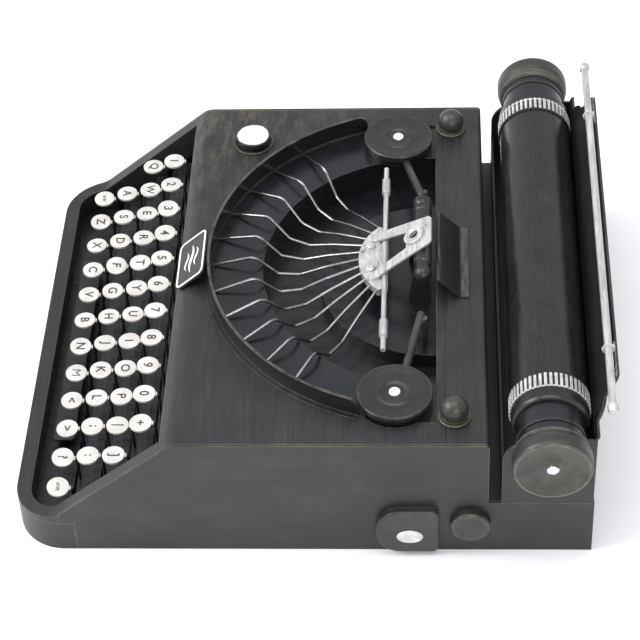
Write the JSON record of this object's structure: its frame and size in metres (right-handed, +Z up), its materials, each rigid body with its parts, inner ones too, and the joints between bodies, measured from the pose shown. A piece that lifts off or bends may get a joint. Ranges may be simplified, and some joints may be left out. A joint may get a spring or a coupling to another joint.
{
  "type": "decorative model typewriter",
  "caption": "Black tin model of a portable typewriter with a sliding carriage, turning platen and ribbon spools, sprung key rows, space bar and push knobs.",
  "frame": {"origin": "centre of the flat underside, on the centre line and midway between the front and rear faces of the base", "axes": "+Z up, -Y towards the typist (keyboard side), +X to the typist's right"},
  "size_m": [0.2622, 0.2657, 0.0932],
  "materials": {
    "black_paint": "satin charcoal black, brushed, worn on the edges",
    "bright_steel": "plain steel",
    "bronzed_black": "black paint with bronze dry-brushing on the edges",
    "printed_white": "satin off-white print",
    "silver_paint": "brushed silver-white paint",
    "plate_black": "black plate with a white raised border",
    "bronzed_knob": "moulded knob, black paint with bronze dry-brushing",
    "spool_black": "satin black, bronze worn rim",
    "knob_silver_top": "black with a silver-white top face"
  },
  "bodies": {
    "root": {"base_plate": "black_paint", "basket_floor": "black_paint", "basket_ledge": "black_paint", "basket_platform": "black_paint", "basket_rear_wall": "black_paint", "carriage_rails": "bright_steel", "cross_shaft": "black_paint", "cross_shaft_bracket": "black_paint", "deck_panel": "black_paint", "dome_nuts": "bronzed_black", "front_panel": "black_paint", "fulcrum_rod": "bright_steel", "guard_band": "black_paint", "key_bed": "black_paint", "key_return_springs": "bright_steel", "keyboard_frame": "black_paint", "latch_boss": "silver_paint", "name_plate": "plate_black", "name_plate_bracket": "black_paint", "paper_shield": "black_paint", "rear_base_cover": "black_paint", "rear_panel": "black_paint", "ribbon_rod": "silver_paint", "ribbon_vibrator": "silver_paint", "segment_stand": "black_paint", "side_latch": "bronzed_black", "side_panel_left": "black_paint", "side_panel_right": "black_paint", "space_bar_guides": "bright_steel", "spool_arms": "black_paint", "spool_cups": "black_paint", "top_knob_collar": "black_paint", "type_segment": "silver_paint", "typebar_wires": "silver_paint", "vibrator_ring": "silver_paint"},
    "carriage": {"carriage_channel": "black_paint", "carriage_shoes": "bright_steel", "end_plate_left": "black_paint", "end_plate_right": "black_paint", "paper_table": "black_paint", "paper_rod": "silver_paint"},
    "platen": {"platen_roller": "black_paint", "platen_rings": "silver_paint", "platen_rims": "bronzed_black", "platen_shaft": "bright_steel", "platen_hubs": "black_paint", "platen_knobs": "bronzed_knob"},
    "left_spool": {"spool_left": "spool_black"},
    "right_spool": {"spool_right": "spool_black"},
    "key_row_1": {"key_tops_row_1": "printed_white", "key_levers_row_1": "black_paint"},
    "key_row_2": {"key_tops_row_2": "printed_white", "key_levers_row_2": "black_paint"},
    "key_row_3": {"key_tops_row_3": "printed_white", "key_levers_row_3": "black_paint"},
    "key_row_4": {"key_tops_row_4": "printed_white", "key_levers_row_4": "black_paint"},
    "space_bar_body": {"space_bar": "black_paint"},
    "top_knob_body": {"top_knob": "knob_silver_top"},
    "side_button_body": {"side_button": "bronzed_black"}
  },
  "joints": [
    {"name": "carriage_slide", "type": "slide", "parent": "root", "child": "carriage", "axis": [1, 0, 0], "range_m": [-0.04, 0.04]},
    {"name": "platen_spin", "type": "hinge", "parent": "carriage", "child": "platen", "pos_m": [0, 0.10845, 0.069], "axis": [1, 0, 0], "continuous": true},
    {"name": "left_spool_spin", "type": "hinge", "parent": "root", "child": "left_spool", "pos_m": [-0.0868, 0.0421, 0.07], "axis": [0, 0, 1], "continuous": true},
    {"name": "right_spool_spin", "type": "hinge", "parent": "root", "child": "right_spool", "pos_m": [0.0868, 0.0421, 0.07], "axis": [0, 0, 1], "continuous": true},
    {"name": "key_row_1_press", "type": "hinge", "parent": "root", "child": "key_row_1", "pos_m": [0, 0.01, 0.022], "axis": [1, 0, 0], "range_deg": [0, 1.8], "stiffness_Nm_per_rad": 1.2, "springref_deg": -3.44},
    {"name": "key_row_2_press", "type": "hinge", "parent": "root", "child": "key_row_2", "pos_m": [0, 0.01, 0.022], "axis": [1, 0, 0], "range_deg": [0, 1.8], "stiffness_Nm_per_rad": 1.2, "springref_deg": -3.44},
    {"name": "key_row_3_press", "type": "hinge", "parent": "root", "child": "key_row_3", "pos_m": [0, 0.01, 0.022], "axis": [1, 0, 0], "range_deg": [0, 1.8], "stiffness_Nm_per_rad": 1.2, "springref_deg": -3.44},
    {"name": "key_row_4_press", "type": "hinge", "parent": "root", "child": "key_row_4", "pos_m": [0, 0.01, 0.022], "axis": [1, 0, 0], "range_deg": [0, 1.8], "stiffness_Nm_per_rad": 1.2, "springref_deg": -3.44},
    {"name": "space_bar_press", "type": "slide", "parent": "root", "child": "space_bar_body", "axis": [0, 0, -1], "range_m": [0, 0.003], "stiffness_N_per_m": 200, "springref_m": -0.004},
    {"name": "top_knob_press", "type": "slide", "parent": "root", "child": "top_knob_body", "axis": [0, 0, -1], "range_m": [0, 0.0021], "stiffness_N_per_m": 300, "springref_m": -0.002},
    {"name": "side_button_press", "type": "slide", "parent": "root", "child": "side_button_body", "axis": [-1, 0, 0], "range_m": [0, 0.0025], "stiffness_N_per_m": 300, "springref_m": -0.001}
  ]
}
